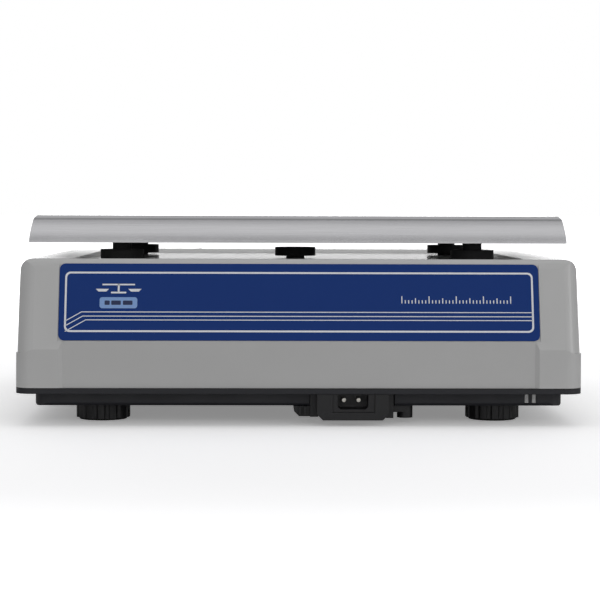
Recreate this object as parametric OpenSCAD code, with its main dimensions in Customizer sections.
// Counter-top label printing scale: a lift-off pan on a load-cell platform, a two-part
// casing on four levelling feet, a display and keypad on the operator's slope, and a
// drop-in label printer behind a hinged door.
// Frame: millimetres, origin on the table under the middle of the casing, +Z up, the
// customer's side facing -Y and the operator's side facing +Y.

/* [Casing] */
// Width of the casing at its bottom edge
body_w = 332.4; // [320:0.2:340]
// Depth of the casing, customer's side to operator's side
body_d = 366; // [356:1:376]
// Height of the flat top of the casing above the table
body_top_z = 97.5; // [94:0.5:100]
// Height of the joint between the casing and the base tray
joint_z = 22.2; // [21:0.1:24]
// Thickness of the moulded walls
wall = 3; // [2.5:0.1:3.5]
// Radius of the upright corners
corner_r = 10; // [6:1:14]
// Radius along the top edges
edge_r = 7.5; // [4:0.5:9]
// Height at which the customer's face starts to lean back
lean_z = 45; // [40:1:50]
// How far the customer's face leans back by the top
lean_back = 14; // [10:1:16]

/* [Base tray] */
// Height of the underside of the tray
tray_z = 11.2; // [11:0.1:13]
// Thickness of the lip that runs round the tray
lip_h = 3.1; // [2:0.2:4]
// How far the tray wall is set in from the lip
tray_inset = 10.5; // [8:0.5:12]

/* [Pan] */
// Width of the pan over its lip
pan_w = 326; // [310:1:328]
// Depth of the pan over its lip
pan_d = 230; // [200:1:236]
// Height of the top of the pan
pan_top_z = 123; // [121:0.5:126]
// Height of the pan from its top to the lower edge of its lip
pan_h = 16.5; // [12:0.5:18]
// Thickness of the pan's sheet
pan_t = 1.2; // [0.8:0.1:2]
// Distance of the middle of the pan behind the middle of the casing
pan_y = -23; // [-26:1:-20]

/* [Supports] */
// Half the distance between two pan supports, across
support_x = 109.3; // [100:0.1:115]
// Half the distance between two pan supports, front to back
support_y = 80; // [70:1:85]
// Diameter of the disc on each support
disc_d = 27; // [22:1:30]
// Height of the underside of the discs
disc_z = 96; // [94:0.5:97]
// Thickness of the discs
disc_h = 5.7; // [4:0.1:6]

/* [Feet] */
// Half the distance between two feet, across
foot_x = 118.2; // [105:0.2:122]
// Half the distance between two feet, front to back
foot_y = 138; // [125:1:145]
// Diameter of the fluted foot wheel
foot_d = 32.4; // [28:0.2:34]
// Number of flutes round a foot wheel
flute_count = 14; // [10:1:18]

/* [Keypad] */
// Distance between two keys
key_pitch = 15; // [14:0.5:16]
// Width and height of a key
key_size = 11.5; // [10:0.5:12.5]
// How far a key can be pressed
key_travel = 1.5; // [1:0.1:2]

/* [Printer] */
// Diameter of a full label roll
roll_d = 48; // [40:1:48]
// Width of the labels
label_w = 58; // [40:1:60]
// Radius of the rubber platen roller
platen_r = 6; // [5:0.5:6]

/* [Hidden] */
$fn = 48;
fit = 0.05;      // radial running clearance of a shaft in its bore
gap = 0.4;       // clearance round pieces that move or drop in
half_w = body_w / 2;
half_d = body_d / 2;
top_half_w = half_w - 1.7;              // the sides draw in a little towards the top
lean = atan(lean_back / (body_top_z - lean_z));

// Operator's slope: from the back of the flat top down to the operator's upright face
slope_top = [129, body_top_z];
slope_foot = [half_d, 50];
slope_a = atan((slope_top[1] - slope_foot[1]) / (slope_foot[0] - slope_top[0]));

// Shallow well in the top under the pan, with a hole for the post of each support
well_half_w = 134;
well_y = [-163, 92];
well_floor_z = 94.6;
ramp_y = 104;                           // end of the ramp from the well's floor to the flat top
post_hole_r = 7;

// Shallow bay in the lower half of the customer's face, under the blue panel
bay_half_w = 138;
bay_flare = 4;
bay_depth = 1.4;
panel_size = [281.4, 46];
panel_low = 5.5;                        // distance of the panel above the bend, up the slope
panel_t = 0.5;

tray_half_w = half_w - tray_inset + 0.1;
tray_half_d = half_d - tray_inset;
tray_floor_z = tray_z + wall;
lip_z = joint_z - lip_h;
clip_x = [134.4, 138.7];                // the two tongues beside the right front corner
clip_low_z = 13;
board_z = 20;                           // underside of the circuit boards

// Mains inlet, in the part of the tray that reaches down towards the table
inlet_x = [10.2, 52.3];
inlet_low_z = 3.6;
inlet_front_y = -half_d + 1;
inlet_back_y = inlet_front_y + 40;
socket_x = [19.5, 44.2];
socket_z = [8.2, 19];
socket_front_y = inlet_front_y + 0.8;
cavity_x = [22.3, 40.3];
cavity_z = [10, 18.5];
cavity_depth = 14;
pin_x = [26.2, 34.8];
pin_z = 15;
pin_r = 1.2;
pin_tip = 5;                            // distance of the pin tips behind the socket's face

// Levelling feet
pad_h = 0.8;
stud_r = 4;
stud_top_z = 20.8;
insert_r = 7;
insert_top_z = 20;
feet = [[-foot_x, -foot_y], [foot_x, -foot_y], [-foot_x, foot_y], [foot_x, foot_y]];

// Screws that hold the casing on the tray, and the height of each one's ceiling
case_screws = [[-148, -120], [148, -120], [-148, 40], [148, 40], [148, 150], [-60, -160]];
screw_ceiling_z = [95, 95, 95, 95, 76, 93];
boss_top_z = 18;

// Load cell on its cast base, with the free end under the platform hub
cell_size = [130, 34, 22];
cell_z = 50;
cell_end = 40;
arm_z = 83.4;
arm_h = 4;
stop_gap = 1.2;

// Keypad, on the slope, with rows counted down from its top
// from the operator's left, which is towards +X
key_columns = [-34 + 2 * key_pitch, -34 + key_pitch, -34];
key_rows = [12, 12 + key_pitch, 12 + 2 * key_pitch, 12 + 3 * key_pitch];
key_proud = 2;
key_flange = 1;
dome_h = 1.5;                           // rubber dome under each key, pressed flat
board_t = 1.6;
overlay_x = [18, 152];
overlay_s = [5, 64];
window_x = [-70, 128];
window_y = [106, 126];
glass_t = 1.6;

// Label printer, in slope coordinates: s runs down the slope, n out of it
bay_x = [-151, -79];
plate_t = 2.5;
slot_s = 60;                            // where the label comes out
platen_at = [slot_s + platen_r, -9.5];
platen_x = [-115 - label_w / 2 - 1, -115 + label_w / 2 + 1];
shaft_r = 3;
roll_at = [32, -37];
roll_x = [-115 - label_w / 2, -115 + label_w / 2];
core_r = 12.7;
hinge_at = [5, -4.5];
barrel_r = 4.5;
hinge_pin_r = 1.5;
groove_r = 5.4;                         // clears the upper edge of the door as it swings
door_s = [7.5, slot_s - 0.3];
door_open_a = 88;
latch_s = [26, 38];
latch_x = [-96, -84];
latch_travel = 3;
gear_m = 0.5;
gear_pressure = 25;
platen_teeth = 20;
pinion_teeth = 12;
gear_x = [-74.2, -70.2];
gear_line = -127;                       // direction from the platen's gear to the pinion
gear_distance = gear_m * (platen_teeth + pinion_teeth) / 2 + 0.05;
motor_at = platen_at + gear_distance * [cos(gear_line), sin(gear_line)];
motor_r = 11.5;
motor_x = [-67, -49];
motor_ears = [[9, -12], [-13.5, -6]];      // places of the motor's two screws from its shaft

// Power switch on the operator's upright face
switch_at = [140, 36];
switch_size = [12, 19];
rocker_tilt = 9;
rocker_r = 7.4;

function unit(v) = v / norm(v);
function half_corner(a, b, c) = acos(unit(a - b) * unit(c - b)) / 2;
// Point inside the corner b, at distance r from both of its sides
function inside_corner(a, b, c, r) =
    b + unit(unit(a - b) + unit(c - b)) * r / sin(half_corner(a, b, c));
function before(list, i) = list[(i + len(list) - 1) % len(list)];
function after(list, i) = list[(i + 1) % len(list)];
// The convex outline moved inwards by t
function inset(points, t) = [for (i = [0:len(points) - 1])
    t > 0 ? inside_corner(before(points, i), points[i], after(points, i), t) : points[i]];
function cut_corner(a, b, c, r) = let (d = r / tan(half_corner(a, b, c)))
    r > 0 ? [b + unit(a - b) * d, b + unit(c - b) * d] : [b];

// Convex outline with a true arc at each corner that has a radius
module rounded_outline(points, radii) {
    polygon([for (i = [0:len(points) - 1])
        each cut_corner(before(points, i), points[i], after(points, i), radii[i])]);
    for (i = [0:len(points) - 1])
        if (radii[i] > 0)
            translate(inside_corner(before(points, i), points[i], after(points, i), radii[i]))
                circle(radii[i]);
}

module rounded_rect(w, d, r) {
    square([w - 2 * r, d], center = true);
    square([w, d - 2 * r], center = true);
    for (x = [-1, 1], y = [-1, 1])
        translate([x * (w / 2 - r), y * (d / 2 - r)]) circle(r);
}

// Extrude an outline drawn in (y, z) along X, or one drawn in (x, z) along Y
module along_x(x) {
    translate([x[0], 0, 0]) rotate([90, 0, 90]) linear_extrude(x[1] - x[0]) children();
}
module along_y(y) {
    translate([0, y[1], 0]) rotate([90, 0, 0]) linear_extrude(y[1] - y[0]) children();
}
module box(low, high) {
    translate(low) cube(high - low);
}
// Local frames: X stays, the second axis runs over the surface, the third comes out of it
module on_slope() {
    translate([0, slope_top[0], slope_top[1]]) rotate([-slope_a, 0, 0]) children();
}
module on_face() {
    translate([0, -half_d, lean_z]) rotate([90 - lean, 0, 0]) children();
}
// A rod along X at the slope position at = [s, n]
module slope_rod(at, x, r) {
    on_slope() translate([x[0], at[0], at[1]]) rotate([0, 90, 0]) cylinder(r = r, h = x[1] - x[0]);
}

// Casing block, moved inwards by t and reaching down to z
module casing_block(t, z) {
    side = [[-half_d, z], [-half_d, lean_z], [-half_d + lean_back, body_top_z],
        slope_top, slope_foot, [half_d, z]];
    front = [[-half_w, z], [-top_half_w, body_top_z], [top_half_w, body_top_z], [half_w, z]];
    r = edge_r - t;
    intersection() {
        along_x([-half_w, half_w])
            rounded_outline(inset(side, t), [0, 0, r, 0, 2, 0]);
        along_y([-half_d, half_d])
            rounded_outline(inset(front, t), [0, r, r, 0]);
        translate([0, 0, z - 10]) linear_extrude(body_top_z - z + 20)
            rounded_rect(body_w - 2 * t, body_d - 2 * t, corner_r - t);
        leaning_corners(t);
    }
}
// Prism that follows the leaning face and rounds its two upright corners
module leaning_corners(t) {
    depth = 2 * body_d;
    on_face() rotate([-90, 0, 0]) translate([0, 0, -200]) linear_extrude(400)
        translate([0, depth / 2 + t]) rounded_rect(body_w - 2 - 2 * t, depth, corner_r - t);
    box([-half_w, -half_d, -50], [half_w, half_d, lean_z - 2]);
}
module well_box(t, z) {
    translate([0, (well_y[0] + well_y[1]) / 2, z]) linear_extrude(60)
        rounded_rect(2 * well_half_w + 2 * t, well_y[1] - well_y[0] + 2 * t, 6);
}
// Ramp behind the well, and the thicker part of the top below it
module well_ramp() {
    along_x([-well_half_w, well_half_w]) polygon([[well_y[1] - 8, well_floor_z],
        [well_y[1], well_floor_z], [ramp_y, body_top_z], [ramp_y, body_top_z + 5],
        [well_y[1] - 8, body_top_z + 5]]);
}
module ramp_backing() {
    box([-well_half_w - wall, well_y[1] - 8, well_floor_z - wall],
        [well_half_w + wall, ramp_y + 1, body_top_z]);
}
module key_at(i) {
    on_slope() translate([key_columns[i % 3], key_rows[floor(i / 3)], 0]) children();
}

module upper_housing() {
    color([0.56, 0.56, 0.55]) {
        difference() {
            casing_block(0, joint_z);
            difference() {
                casing_block(wall, joint_z - 20);
                well_box(wall, well_floor_z - wall);
                ramp_backing();
                screw_columns();
            }
            well_box(0, well_floor_z);
            well_ramp();
            for (x = [-1, 1], y = [-1, 1])
                translate([x * support_x, pan_y + y * support_y, 60]) cylinder(r = post_hole_r, h = 60);
            translate([0, pan_y, 60]) cylinder(r = post_hole_r, h = 60);
            for (p = case_screws) translate([p[0], p[1], 0]) cylinder(r = 1.5, h = 32);
            face_bay();
            on_face() translate([-panel_size[0] / 2 - 0.3, panel_low - 0.3, -panel_t - 0.1])
                cube([panel_size[0] + 0.6, panel_size[1] + 0.6, 10]);
            box([window_x[0] - 0.2, window_y[0] - 0.2, body_top_z - glass_t],
                [window_x[1] + 0.2, window_y[1] + 0.2, body_top_z + 10]);
            box([window_x[0] + 4, window_y[0] + 2, body_top_z - 10],
                [window_x[1] - 4, window_y[1] - 2, body_top_z + 10]);
            for (i = [0:11]) key_at(i) translate([0, 0, -10]) linear_extrude(20)
                rounded_rect(key_size + 2 * gap, key_size + 2 * gap, 2.4);
            on_slope() translate([overlay_x[0] - 0.2, overlay_s[0] - 0.2, -0.7])
                cube([overlay_x[1] - overlay_x[0] + 0.4, overlay_s[1] - overlay_s[0] + 0.4, 10]);
            on_slope() translate([bay_x[0], hinge_at[0], -10])
                cube([bay_x[1] - bay_x[0], slot_s + 1.2 - hinge_at[0], 20]);
            slope_rod(hinge_at, bay_x, groove_r);
            open_door_space();
            slope_rod(hinge_at, [bay_x[0] - 5, bay_x[1] + 5], hinge_pin_r + fit);
            translate([140, 112, 0]) cylinder(r = 7.05, h = 200);
            box([switch_at[0] - switch_size[0] / 2, half_d - 10, switch_at[1] - switch_size[1] / 2],
                [switch_at[0] + switch_size[0] / 2, half_d + 10, switch_at[1] + switch_size[1] / 2]);
        }
        clip_tongues();
    }
}
// Room for the door's upper edge beside the hinge at its open stop
module open_door_space() {
    on_slope() translate([bay_x[0] - gap, hinge_at[0], hinge_at[1]]) rotate([door_open_a, 0, 0])
        cube([bay_x[1] - bay_x[0] + 2 * gap, 15, gap - hinge_at[1]]);
}
module screw_columns() {
    for (i = [0:len(case_screws) - 1])
        translate([case_screws[i][0], case_screws[i][1], boss_top_z])
            cylinder(r = 4, h = screw_ceiling_z[i] - boss_top_z);
}
// Shallow bay with slanting sides, from the joint up to where it meets the leaning face
module face_bay() {
    translate([0, -half_d, joint_z - 1]) linear_extrude(80)
        polygon([[-bay_half_w - bay_flare, -1], [-bay_half_w, bay_depth],
            [bay_half_w, bay_depth], [bay_half_w + bay_flare, -1]]);
}
// The two tongues that show through slots in the tray wall
module clip_tongues() {
    for (x = clip_x)
        box([x - 1.1, -tray_half_d + 0.3, clip_low_z], [x + 1.1, -tray_half_d + wall + 2, joint_z + 1]);
    box([clip_x[0] - 2.4, -tray_half_d + wall + 0.2, joint_z - 1],
        [clip_x[1] + 2.3, -tray_half_d + wall + 2, joint_z + 6]);
    box([clip_x[0] - 2.4, -half_d + wall - 0.5, joint_z + 1],
        [clip_x[1] + 2.3, -tray_half_d + wall + 2, joint_z + 4]);
}

module base_tray() {
    color([0.13, 0.135, 0.15]) difference() {
        union() {
            intersection() {
                along_x([-tray_half_w, tray_half_w]) rounded_outline(
                    [[-tray_half_d, joint_z], [-tray_half_d, tray_z], [tray_half_d, tray_z],
                        [tray_half_d, joint_z]], [0, 2, 2, 0]);
                along_y([-tray_half_d, tray_half_d]) rounded_outline(
                    [[-tray_half_w, joint_z], [-tray_half_w, tray_z], [tray_half_w, tray_z],
                        [tray_half_w, joint_z]], [0, 2, 2, 0]);
                linear_extrude(60) rounded_rect(2 * tray_half_w, 2 * tray_half_d, 8);
            }
            translate([0, 0, lip_z]) linear_extrude(lip_h) rounded_rect(body_w, body_d, corner_r);
        }
        difference() {
            translate([0, 0, tray_floor_z]) linear_extrude(60)
                rounded_rect(2 * tray_half_w - 2 * wall, 2 * tray_half_d - 2 * wall, 5);
            for (p = feet) translate([p[0], p[1], tray_z])
                cylinder(r = insert_r + 3, h = insert_top_z - tray_z);
            for (p = case_screws) translate([p[0], p[1], tray_z])
                cylinder(r = 6, h = boss_top_z - tray_z);
        }
        for (p = feet) translate([p[0], p[1], 0]) cylinder(r = insert_r + 0.02, h = 60);
        for (p = case_screws) translate([p[0], p[1], 0]) {
            cylinder(r = 1.8, h = 60);
            cylinder(r = 4, h = tray_floor_z);
        }
        // Gap in the wall and floor that the inlet housing fills, and the two clip slots
        box([inlet_x[0] - 4, -half_d - 5, -1], [inlet_x[1] + 4, inlet_back_y + 0.2, lip_z]);
        box([socket_x[0] - 3, inlet_front_y + 8, -1], [socket_x[1] + 3, inlet_back_y + 0.2, 40]);
        for (x = clip_x) {
            box([x - 1.3, -half_d - 5, clip_low_z - 0.2], [x + 1.3, -tray_half_d + wall + 0.1, lip_z]);
            box([x - 1.3, -tray_half_d + 0.1, clip_low_z - 0.2],
                [x + 1.3, -tray_half_d + wall + 3, 60]);
        }
        box([clip_x[0] - 2.6, -tray_half_d + wall, joint_z - 1.2],
            [clip_x[1] + 2.5, -tray_half_d + wall + 3, 60]);
    }
}
module customer_panel() {
    color([0.045, 0.09, 0.27]) on_face() translate([0, panel_low + panel_size[1] / 2, -panel_t])
        linear_extrude(panel_t - 0.1) rounded_rect(panel_size[0], panel_size[1], 3.5);
}

module inlet_housing() {
    below_tray = tray_z - 0.2;
    color([0.07, 0.07, 0.08]) difference() {
        union() {
            along_y([inlet_front_y, inlet_back_y]) polygon([[inlet_x[0], lip_z - 0.1],
                [inlet_x[0], inlet_low_z + 3.5], [inlet_x[0] + 3.5, inlet_low_z],
                [inlet_x[1] - 3.5, inlet_low_z], [inlet_x[1], inlet_low_z + 3.5],
                [inlet_x[1], lip_z - 0.1]]);
            // Lower block on the left and its ribs, cable guide on the right
            box([inlet_x[0] - 3.8, inlet_front_y + 9, 4.7], [inlet_x[0] + 1, inlet_back_y, lip_z - 0.1]);
            along_y([inlet_front_y + 12, inlet_back_y]) polygon([[-3, below_tray], [-3, 7.7], [0, 4.7],
                [inlet_x[0] - 3, 4.7], [inlet_x[0] - 3, below_tray]]);
            for (x = [0.5, 3.5]) box([x - 0.6, inlet_front_y + 9, 5.5],
                [x + 0.6, inlet_front_y + 13, below_tray]);
            box([inlet_x[1] - 1, inlet_front_y + 9, 4], [inlet_x[1] + 3.3, inlet_back_y, lip_z - 0.1]);
            box([inlet_x[1] + 2, inlet_front_y + 14, 7], [63, inlet_front_y + 26, below_tray]);
            translate([63.1, inlet_front_y + 20, 3.4]) cylinder(r = 4.65, h = below_tray - 3.4);
        }
        box([socket_x[0], inlet_front_y - 5, socket_z[0]], [socket_x[1], inlet_back_y - 3, socket_z[1]]);
        box([inlet_x[0] + 2.5, inlet_front_y + 24, inlet_low_z + 2.5],
            [inlet_x[1] - 2.5, inlet_back_y - 3, 40]);
        translate([63.1, inlet_front_y + 20, 3]) cylinder(r = 1.8, h = 5);
    }
}
// Cavity outline of the two-pin inlet: flat along the top, round at the lower corners
module cavity_outline() {
    rounded_outline([[cavity_x[0], cavity_z[1]], [cavity_x[1], cavity_z[1]],
        [cavity_x[1], cavity_z[0]], [cavity_x[0], cavity_z[0]]], [0.8, 0.8, 2.6, 2.6]);
}
module inlet_socket() {
    color([0.05, 0.05, 0.055]) difference() {
        box([socket_x[0] + 0.1, socket_front_y, socket_z[0] + 0.1],
            [socket_x[1] - 0.1, socket_front_y + 20, socket_z[1] - 0.1]);
        along_y([socket_front_y - 2, socket_front_y + cavity_depth]) cavity_outline();
        for (x = pin_x) translate([x, socket_front_y + 30, pin_z]) rotate([90, 0, 0])
            cylinder(r = pin_r + 0.02, h = 30);
    }
}
module inlet_pins() {
    color([0.75, 0.62, 0.35]) for (x = pin_x) translate([x, socket_front_y + 24, pin_z])
        rotate([90, 0, 0]) cylinder(r = pin_r, h = 24 - pin_tip);
}

module speed_key_overlay() {
    color([0.1, 0.17, 0.36]) on_slope() translate([overlay_x[0], overlay_s[0], -0.65])
        cube([overlay_x[1] - overlay_x[0], overlay_s[1] - overlay_s[0], 0.6]);
}
module display_window() {
    color([0.12, 0.16, 0.16]) box([window_x[0], window_y[0], body_top_z - glass_t],
        [window_x[1], window_y[1], body_top_z - 0.1]);
}
// Liquid-crystal glass on its circuit board, behind the window
module display_module() {
    color([0.4, 0.5, 0.4]) {
        box([window_x[0] + 6, window_y[0] + 3, body_top_z - 5],
            [window_x[1] - 6, window_y[1] - 3, body_top_z - 1.8]);
        box([window_x[0] + 5, window_y[0] + 2.6, body_top_z - 7],
            [window_x[1] - 5, window_y[1] - 2.6, body_top_z - 5]);
    }
}
module keypad_board() {
    color([0.1, 0.35, 0.2]) on_slope() 
        translate([-44, 4, -wall - key_flange - key_travel - dome_h - board_t]) cube([186, 60, board_t]);
}
module key_cap(i) {
    color([0.85, 0.85, 0.83]) key_at(i) {
        translate([0, 0, -wall - key_flange]) linear_extrude(key_flange - 0.1)
            rounded_rect(key_size + 2.4, key_size + 2.4, 2);
        translate([0, 0, -wall - 0.2]) linear_extrude(wall + 0.2 + key_proud)
            rounded_rect(key_size, key_size, 2);
    }
}

module main_board() {
    color([0.1, 0.35, 0.2]) {
        box([10, 40, board_z], [134, 122, board_z + board_t]);
        box([40, 70, board_z + board_t], [60, 90, 24]);
        box([80, 60, board_z + board_t], [92, 72, 24]);
        box([15, 45, board_z + board_t], [25, 90, 30]);
        box([90, 108, board_z + board_t], [125, 118, 32]);
    }
    color([0.7, 0.7, 0.7]) for (x = [14, 130], y = [44, 118])
        translate([x, y, tray_floor_z]) cylinder(r = 3, h = board_z - tray_floor_z);
}
module power_supply() {
    color([0.5, 0.4, 0.25]) {
        box([20, -125, board_z], [130, -65, board_z + board_t]);
        box([75, -115, board_z + board_t], [115, -75, 52]);
        box([30, -120, board_z + board_t], [45, -110, 36]);
    }
    color([0.7, 0.7, 0.7]) for (x = [24, 126], y = [-121, -69])
        translate([x, y, tray_floor_z]) cylinder(r = 3, h = board_z - tray_floor_z);
    color([0.1, 0.1, 0.1]) translate([60, -82, board_z + board_t]) cylinder(r = 8, h = 26);
}
module battery() {
    color([0.2, 0.2, 0.22]) {
        box([-139, -112, tray_floor_z], [-38, -65, tray_floor_z + 54]);
        box([-139, -105, tray_floor_z + 54], [-130, -98, tray_floor_z + 58]);
        box([-139, -79, tray_floor_z + 54], [-130, -72, tray_floor_z + 58]);
    }
}

module cell_base() {
    color([0.65, 0.66, 0.68]) translate([0, pan_y, 0]) {
        box([-75, -30, tray_floor_z], [75, 30, tray_floor_z + 4]);
        box([-cell_size[0] / 2, -cell_size[1] / 2, tray_floor_z + 4],
            [-cell_size[0] / 2 + cell_end, cell_size[1] / 2, cell_z]);
        translate([cell_size[0] / 2 - 12, 0, tray_floor_z + 4])
            cylinder(r = 5, h = cell_z - stop_gap - tray_floor_z - 4);
    }
}
// Single-point cell: a bar with the usual joined pair of sideways bores through it
module load_cell() {
    color([0.8, 0.81, 0.83]) translate([0, pan_y, cell_z]) difference() {
        translate([-cell_size[0] / 2, -cell_size[1] / 2, 0]) cube(cell_size);
        for (x = [-14, 14]) translate([x, 50, cell_size[2] / 2]) rotate([90, 0, 0])
            cylinder(r = 8, h = 100);
        box([-14, -50, cell_size[2] / 2 - 3], [14, 50, cell_size[2] / 2 + 3]);
        for (x = [-1, 1], d = [-7, 7]) translate([x * (cell_size[0] / 2 - 20) + d, 0, -1])
            cylinder(r = 2.6, h = 50);
    }
}
module cell_bolts() {
    color([0.3, 0.3, 0.32]) for (d = [-7, 7])
        translate([-cell_size[0] / 2 + 20 + d, pan_y, cell_z]) {
            cylinder(r = 2.5, h = cell_size[2] + 0.1);
            translate([0, 0, cell_size[2]]) cylinder(r = 4.5, h = 5);
        }
}
module housing_screws() {
    color([0.7, 0.7, 0.72]) for (p = case_screws) translate([p[0], p[1], 0]) {
        translate([0, 0, tray_floor_z - 2.4]) cylinder(r = 3.6, h = 2.4);
        translate([0, 0, tray_floor_z - 1]) cylinder(r = 1.45, h = 14);
    }
}
module foot_inserts() {
    color([0.78, 0.65, 0.36]) for (p = feet) translate([p[0], p[1], tray_z + 0.3])
        difference() {
            cylinder(r = insert_r, h = insert_top_z - tray_z - 0.3);
            translate([0, 0, -1]) cylinder(r = stud_r + fit, h = 30);
        }
}

// Printer frame: two side plates on a stepped floor, with posts for the motor
module printer_chassis() {
    shelf_z = joint_z + 0.3;
    back = tray_half_d - wall - 1.6;
    color([0.55, 0.57, 0.6]) difference() {
        union() {
            for (x = [bay_x[0] - 1.5 - plate_t, bay_x[1] + 1.5])
                along_x([x, x + plate_t]) polygon([[96.5, shelf_z], [178.5, shelf_z],
                    [178.5, 49.3], [131.5, 90.9], [128.5, 93.4], [108, 93.4], [106.5, 91.2], [96.5, 91.2]]);
            box([bay_x[0] - 3, 96.5, shelf_z], [bay_x[0] + 5.7, back, shelf_z + 2.5]);
            box([bay_x[0] + 3.2, 96.5, tray_floor_z], [bay_x[0] + 5.7, back, shelf_z + 2.5]);
            box([bay_x[0] + 3.2, 96.5, tray_floor_z], [bay_x[1] + 4, back, tray_floor_z + 2.5]);
            box([bay_x[1] + 1.5, 96.5, tray_floor_z], [bay_x[1] + 4, back, shelf_z + 1]);
            for (ear = motor_ears) slope_rod(motor_at + ear, [bay_x[1] + 2, motor_x[0]], 2);
        }
        slope_rod(platen_at, [-200, 0], shaft_r + fit);
        slope_rod(roll_at, [-200, 0], 4.03);
        slope_rod(hinge_at, [-200, 0], hinge_pin_r + 0.02);
        translate([-foot_x, foot_y, 0]) cylinder(r = insert_r + 3.5, h = insert_top_z + 1);
    }
}
module stepper_motor() {
    color([0.7, 0.71, 0.73]) {
        slope_rod(motor_at, motor_x, motor_r);
        slope_rod(motor_at, [motor_x[0], motor_x[0] + 1.5], motor_r + 0.7);
        slope_rod(motor_at, [gear_x[1] + 0.5, motor_x[0]], 2);
        slope_rod(motor_at, [gear_x[0] - 0.5, motor_x[0]], 1);
        for (ear = motor_ears) slope_rod(motor_at + ear, [motor_x[0], motor_x[0] + 1.5], 3.4);
    }
}
// Toothed steel strip on the lower edge of the label slot
module tear_bar() {
    teeth = 28;
    color([0.75, 0.76, 0.78]) on_slope() translate([platen_x[0], slot_s + 0.9, 0])
        linear_extrude(0.6) polygon(concat(
            [for (i = [0:teeth]) each [[i * 60 / teeth, 0], [(i + 0.5) * 60 / teeth, 0.9]]],
            [[60 * (teeth + 0.5) / teeth, 5], [0, 5]]));
}
module roll_spindle() {
    color([0.8, 0.8, 0.8]) {
        slope_rod(roll_at, [roll_x[0] - 2, roll_x[1] + 2], core_r - fit - 0.03);
        slope_rod(roll_at, [bay_x[0] - 1.5 - plate_t, bay_x[1] + 1.5 + plate_t], 4);
    }
}
module door_hinge_pin() {
    color([0.8, 0.81, 0.83])
        slope_rod(hinge_at, [bay_x[0] - 4, bay_x[1] + 4], hinge_pin_r);
}
module level_vial() {
    color([0.8, 0.85, 0.4]) translate([140, 112, 88]) cylinder(r = 7, h = 9.4);
}
module switch_body() {
    at = [switch_at[0], half_d, switch_at[1]];
    color([0.08, 0.08, 0.09]) difference() {
        union() {
            box(at - [switch_size[0] / 2 - 0.1, 16, switch_size[1] / 2 - 0.1],
                at + [switch_size[0] / 2 - 0.1, -0.6, switch_size[1] / 2 - 0.1]);
            for (z = [-4, 4]) box(at + [-0.4, -24, z - 2.5], at + [0.4, -16, z + 2.5]);
        }
        translate([switch_at[0] - 4.5, half_d - 3, switch_at[1]]) rotate([0, 90, 0])
            cylinder(r = rocker_r + 0.3, h = 9);
        box(at + [-4.5, -3, -rocker_r - 0.3], at + [4.5, 5, rocker_r + 0.3]);
        translate([switch_at[0] - 5.5, half_d - 3, switch_at[1]]) rotate([0, 90, 0])
            cylinder(r = 1.2 + fit, h = 11);
    }
}
module power_rocker() {
    color([0.6, 0.08, 0.07]) translate([switch_at[0], half_d - 3, switch_at[1]])
        rotate([-rocker_tilt, 0, 0]) {
            intersection() {
                translate([-4.2, 0, 0]) rotate([0, 90, 0]) cylinder(r = rocker_r, h = 8.4);
                box([-10, -4, -10], [10, 1.4, 10]);
            }
            translate([-5.3, 0, 0]) rotate([0, 90, 0]) cylinder(r = 1.2, h = 10.6);
        }
}

// Cast platform frame: a hub plate with an arm out to each pan support
module spider_frame() {
    color([0.7, 0.71, 0.72]) translate([0, pan_y, arm_z]) difference() {
        union() {
            box([-70, -32, 0], [70, 32, arm_h]);
            for (x = [-1, 1], y = [-1, 1]) {
                arm_a = atan2(y * support_y, x * support_x);
                rotate([0, 0, arm_a]) {
                    box([0, -9, 0], [norm([support_x, support_y]), 9, arm_h]);
                    box([20, -2, 0], [norm([support_x, support_y]) - 16, 2, arm_h + 3]);
                }
                translate([x * support_x, y * support_y, 0]) cylinder(r = 13, h = arm_h);
            }
        }
        for (d = [-7, 7]) translate([cell_size[0] / 2 - 20 + d, 0, -1]) cylinder(r = 2.6, h = 20);
    }
}
module hub_spacer() {
    color([0.6, 0.61, 0.63]) translate([0, pan_y, 0]) difference() {
        box([cell_size[0] / 2 - cell_end + 4, -cell_size[1] / 2, cell_z + cell_size[2]],
            [cell_size[0] / 2, cell_size[1] / 2, arm_z]);
        for (d = [-7, 7]) translate([cell_size[0] / 2 - 20 + d, 0, 0]) cylinder(r = 2.6, h = 120);
    }
}
module spider_bolts() {
    color([0.3, 0.3, 0.32]) for (d = [-7, 7])
        translate([cell_size[0] / 2 - 20 + d, pan_y, cell_z + cell_size[2] + 0.3]) {
            cylinder(r = 2.5, h = arm_z + arm_h - cell_z - cell_size[2] - 0.2);
            translate([0, 0, arm_z + arm_h - cell_z - cell_size[2] - 0.3]) cylinder(r = 4.5, h = 3);
        }
}
// Rubber supports: four with a peg that locates the pan, and a plain one on the hub
module pan_supports() {
    color([0.12, 0.12, 0.12]) {
        for (x = [-1, 1], y = [-1, 1]) translate([x * support_x, pan_y + y * support_y, 0]) {
            translate([0, 0, arm_z + arm_h]) cylinder(r = 6, h = disc_z - arm_z - arm_h);
            translate([0, 0, disc_z]) cylinder(d = disc_d, h = disc_h);
            translate([0, 0, disc_z + disc_h])
                cylinder(r = 6, h = pan_top_z - pan_t - disc_z - disc_h);
        }
        translate([0, pan_y, arm_z + arm_h]) cylinder(r = 6, h = disc_z - arm_z - arm_h);
        translate([0, pan_y, disc_z]) cylinder(d = disc_d, h = disc_h);
    }
}

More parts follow.
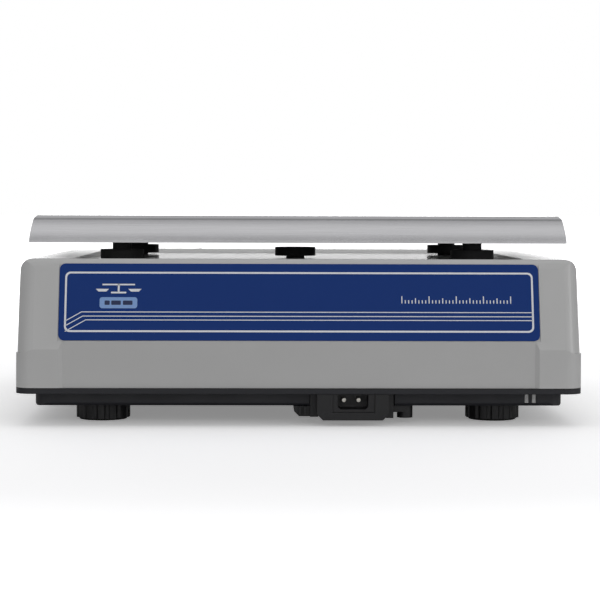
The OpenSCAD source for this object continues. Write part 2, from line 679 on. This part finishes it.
// Pan section: a lip that bows outwards and a bend into the flat top, both in short flats.
// Its tangent angles are measured from the upright.
lip_r = 65;
lip_low_a = 4;
lip_high_a = 14.5;
lip_steps = 6;
bend_r = 4;
bend_steps = 8;
function lip_points(half) = [for (i = [0:lip_steps])
    let (a = lip_low_a + (lip_high_a - lip_low_a) * i / lip_steps)
    [half - lip_r * (cos(lip_low_a) - cos(a)),
        pan_top_z - pan_h + lip_r * (sin(a) - sin(lip_low_a))]];
function bend_points(last, top, r) =
    let (corner = [last[0] - (top - last[1]) * tan(lip_high_a), top],
        centre = inside_corner(last, corner, [0, top], r))
    [for (i = [0:bend_steps]) let (a = lip_high_a + (90 - lip_high_a) * i / bend_steps)
        centre + r * [cos(a), sin(a)]];
function mirrored(points) = [for (i = [len(points) - 1:-1:0]) [-points[i][0], points[i][1]]];
module pan_section(half, top, drop) {
    lip = lip_points(half);
    right = concat(drop > 0 ? [[half, pan_top_z - pan_h - drop]] : [], lip,
        bend_points(lip[lip_steps], top, bend_r - (pan_top_z - top)));
    polygon(concat(right, mirrored(right)));
}
module pan_block(t, drop) {
    intersection() {
        along_y([-200, 200]) pan_section(pan_w / 2 - t, pan_top_z - t, drop);
        along_x([-200, 200]) pan_section(pan_d / 2 - t, pan_top_z - t, drop);
    }
}
module weighing_pan() {
    color([0.62, 0.62, 0.63]) translate([0, pan_y, 0]) difference() {
        pan_block(0, 0);
        pan_block(pan_t, 5);
    }
}
// Plastic cups under the pan that drop over the pegs of the supports
module pan_locators() {
    color([0.15, 0.15, 0.16]) for (x = [-1, 1], y = [-1, 1])
        translate([x * support_x, pan_y + y * support_y, pan_top_z - pan_t - 8]) difference() {
            cylinder(r = 9, h = 8);
            translate([0, 0, -1]) cylinder(r = 6.3, h = 10);
        }
}

module foot_pad(i) {
    color([0.06, 0.06, 0.06]) translate([feet[i][0], feet[i][1], 0]) {
        cylinder(r = foot_d / 2 - 2, h = pad_h);
        cylinder(r = 4, h = pad_h + 4);
    }
}
module foot_wheel(i) {
    color([0.09, 0.09, 0.095]) translate([feet[i][0], feet[i][1], 0]) difference() {
        union() {
            translate([0, 0, pad_h + 0.3]) linear_extrude(tray_z - pad_h - 0.5) difference() {
                circle(foot_d / 2);
                for (k = [0:flute_count - 1]) rotate(k * 360 / flute_count)
                    translate([foot_d / 2 + 0.9, 0]) circle(2);
            }
            cylinder(r = stud_r, h = stud_top_z);
        }
        translate([0, 0, -1]) cylinder(r = 4 + fit, h = pad_h + 5.3);
    }
}

module printer_door() {
    color([0.56, 0.56, 0.55]) difference() {
        union() {
            on_slope() translate([bay_x[0] + gap, door_s[0], -wall])
                cube([bay_x[1] - bay_x[0] - 2 * gap, door_s[1] - door_s[0], wall]);
            slope_rod(hinge_at, [bay_x[0] + gap, bay_x[1] - gap], barrel_r);
        }
        slope_rod(hinge_at, [bay_x[0] - 1, bay_x[1] + 1], hinge_pin_r + fit);
        // Window for the latch and its travel
        on_slope() translate([latch_x[0] - latch_travel - gap, latch_s[0] - gap, -5])
            cube([latch_x[1] - latch_x[0] + latch_travel + 2 * gap,
                latch_s[1] - latch_s[0] + 2 * gap, 10]);
        // Shallow finger dip at the lower edge
        on_slope() translate([-115, door_s[1] + 12, -0.01]) cylinder(r = 22, h = 5);
    }
}
module print_head() {
    color([0.75, 0.77, 0.78]) on_slope() {
        translate([-140, door_s[1] - 13, -wall - 6]) cube([50, 13, 6]);
        translate([-146, door_s[1] - 16, -wall - 1.5]) cube([62, 3, 1.5]);
        translate([-138, door_s[1] - 16, -wall - 6]) cube([46, 3, 4.5]);
    }
}
module door_latch() {
    color([0.13, 0.13, 0.14]) on_slope() {
        translate([latch_x[0], latch_s[0], -wall - 0.3])
            cube([latch_x[1] - latch_x[0], latch_s[1] - latch_s[0], wall + 1.3]);
        translate([latch_x[0] - 5, latch_s[0] - 3, -wall - 2.2])
            cube([latch_x[1] - latch_x[0] + 8, latch_s[1] - latch_s[0] + 6, 1.9]);
        translate([latch_x[1], latch_s[0] + 3, -wall - 2.2])
            cube([bay_x[1] - gap - latch_x[1], latch_s[1] - latch_s[0] - 6, 1.9]);
    }
}

// Involute gear outline with a tooth on the direction start
function involute(base_r, t) =
    base_r * [cos(t) + t * PI / 180 * sin(t), sin(t) - t * PI / 180 * cos(t)];
function turned(p, a) = [p[0] * cos(a) - p[1] * sin(a), p[0] * sin(a) + p[1] * cos(a)];
function mirror_y(p) = [p[0], -p[1]];
module gear_outline(teeth, start) {
    pitch_r = gear_m * teeth / 2;
    base_r = pitch_r * cos(gear_pressure);
    tip_r = pitch_r + 0.75 * gear_m;
    root_r = pitch_r - 1.1 * gear_m;
    backlash_a = 0.05 / pitch_r * 180 / PI;
    flank_a = 90 / teeth - backlash_a + tan(gear_pressure) * 180 / PI - gear_pressure;
    tip_t = sqrt(pow(tip_r / base_r, 2) - 1) * 180 / PI;
    steps = 4;
    flank = concat([[root_r * cos(flank_a), -root_r * sin(flank_a)]],
        [for (k = [0:steps]) turned(involute(base_r, tip_t * k / steps), -flank_a)]);
    back = [for (k = [len(flank) - 1:-1:0]) mirror_y(flank[k])];
    polygon([for (i = [0:teeth - 1]) each
        [for (p = concat(flank, back)) turned(p, start + i * 360 / teeth)]]);
}
module slope_gear(at, x, teeth, start) {
    on_slope() translate([x[0], at[0], at[1]]) rotate([90, 0, 90])
        linear_extrude(x[1] - x[0]) gear_outline(teeth, start);
}
module platen_roller() {
    color([0.1, 0.1, 0.1]) slope_rod(platen_at, platen_x, platen_r);
    color([0.7, 0.7, 0.72])
        slope_rod(platen_at, [bay_x[0] - 1.5 - plate_t, gear_x[1]], shaft_r);
    color([0.9, 0.9, 0.88]) slope_gear(platen_at, gear_x, platen_teeth, gear_line);
}
module motor_pinion() {
    color([0.78, 0.65, 0.36]) difference() {
        slope_gear(motor_at, gear_x, pinion_teeth, gear_line + 180 + 180 / pinion_teeth);
        slope_rod(motor_at, [-200, 0], 1 + fit);
    }
}
module label_roll() {
    color([0.95, 0.95, 0.93]) difference() {
        slope_rod(roll_at, roll_x, roll_d / 2);
        slope_rod(roll_at, [roll_x[0] - 1, roll_x[1] + 1], core_r);
    }
}

base_tray();
upper_housing();
customer_panel();
inlet_housing();
inlet_socket();
inlet_pins();
speed_key_overlay();
display_window();
display_module();
keypad_board();
main_board();
power_supply();
battery();
cell_base();
load_cell();
cell_bolts();
housing_screws();
foot_inserts();
printer_chassis();
stepper_motor();
tear_bar();
roll_spindle();
door_hinge_pin();
level_vial();
switch_body();
spider_frame();
hub_spacer();
spider_bolts();
pan_supports();
weighing_pan();
pan_locators();
foot_pad(0);  // foot_pad_1
foot_pad(1);  // foot_pad_2
foot_pad(2);  // foot_pad_3
foot_pad(3);  // foot_pad_4
foot_wheel(0);  // foot_wheel_1
foot_wheel(1);  // foot_wheel_2
foot_wheel(2);  // foot_wheel_3
foot_wheel(3);  // foot_wheel_4
printer_door();
print_head();
door_latch();
platen_roller();
motor_pinion();
label_roll();
power_rocker();
key_cap(0);  // key_1
key_cap(1);  // key_2
key_cap(2);  // key_3
key_cap(3);  // key_4
key_cap(4);  // key_5
key_cap(5);  // key_6
key_cap(6);  // key_7
key_cap(7);  // key_8
key_cap(8);  // key_9
key_cap(9);  // key_clear
key_cap(10);  // key_0
key_cap(11);  // key_print
